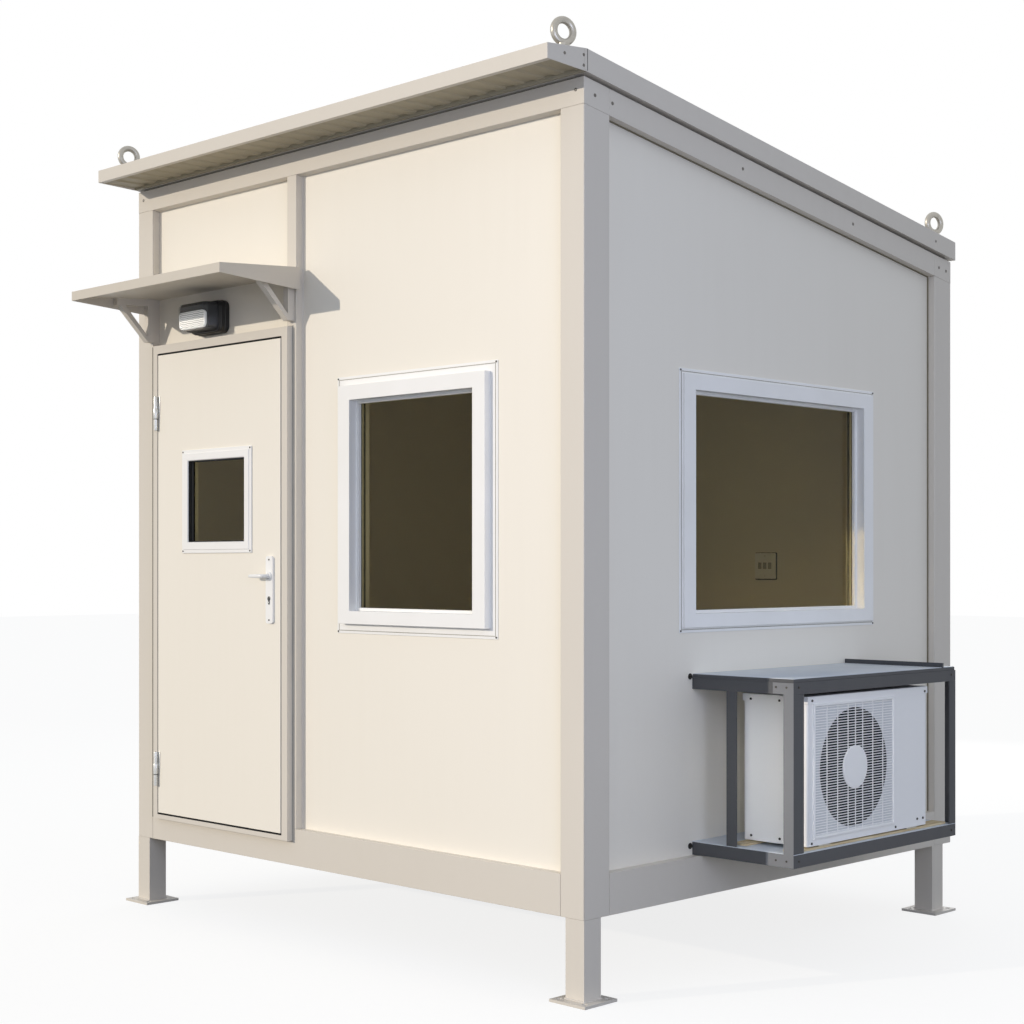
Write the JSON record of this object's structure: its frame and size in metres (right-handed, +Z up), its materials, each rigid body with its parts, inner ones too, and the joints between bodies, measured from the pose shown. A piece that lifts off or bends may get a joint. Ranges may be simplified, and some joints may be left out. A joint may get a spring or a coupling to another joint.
{
  "type": "security guard booth",
  "caption": "Small raised guard booth with panel walls, single-pitch roof, front eave, lever-handled door under a canopy, fixed windows, lifting eyes and a caged condenser.",
  "frame": {"origin": "on the ground, in the middle of the four legs", "axes": "+X to the booth's right seen from the door side, +Y from the door side to the back, +Z up"},
  "size_m": [3.1005, 2.752, 3.3118],
  "materials": {
    "frame_paint": "satin",
    "panel_paint": "satin",
    "floor_sheet": "matt",
    "seal": "matt",
    "zinc": "satin",
    "lamp_body": "matt",
    "lamp_clear": "gloss",
    "white_frame": "satin",
    "tinted_glass": "gloss",
    "cage_paint": "satin",
    "cover_paint": "satin",
    "timber": "matt",
    "unit_paint": "satin"
  },
  "bodies": {
    "booth": {"legs": "frame_paint", "base_beams": "frame_paint", "floor_joists": "frame_paint", "corner_posts": "frame_paint", "door_post": "frame_paint", "front_top_rail": "frame_paint", "back_top_rail": "frame_paint", "side_top_rails": "frame_paint", "eave_trim": "frame_paint", "eave_soffit": "frame_paint", "verge_trims": "frame_paint", "back_fascia": "frame_paint", "canopy": "frame_paint", "canopy_brackets": "frame_paint", "door_frame": "frame_paint", "front_wall": "panel_paint", "over_door_panel": "panel_paint", "left_wall": "panel_paint", "right_wall": "panel_paint", "back_wall": "panel_paint", "roof_panel": "panel_paint", "floor_deck": "floor_sheet", "roof_seal": "seal", "lifting_eyes": "zinc", "hinge_pins": "zinc", "cage_tray": "zinc", "condenser_feet": "zinc", "lamp_base": "lamp_body", "lamp_lens": "lamp_clear", "front_window_frame": "white_frame", "side_window_frame": "white_frame", "switch_plate": "white_frame", "front_window_glass": "tinted_glass", "side_window_glass": "tinted_glass", "cage_lower_frame": "cage_paint", "cage_uprights": "cage_paint", "cage_upper_frame": "cage_paint", "cage_cover": "cover_paint", "timber_bearers": "timber", "condenser_housing": "unit_paint", "condenser_guard": "unit_paint"},
    "door": {"door_leaf": "panel_paint", "hinge_knuckles": "zinc", "door_window_trim": "white_frame", "door_window_glass": "tinted_glass", "handle_plates": "white_frame"},
    "lever": {"door_lever": "zinc"}
  },
  "joints": [
    {"name": "door_hinge", "type": "hinge", "parent": "booth", "child": "door", "pos_m": [-1.136, -1.181, 1.4], "axis": [0, 0, -1], "range_deg": [0, 110]},
    {"name": "lever_turn", "type": "hinge", "parent": "door", "child": "lever", "pos_m": [-0.343, -1.1795, 1.435], "axis": [0, -1, 0], "range_deg": [0, 45], "stiffness_Nm_per_rad": 2, "springref_deg": -20.05}
  ]
}
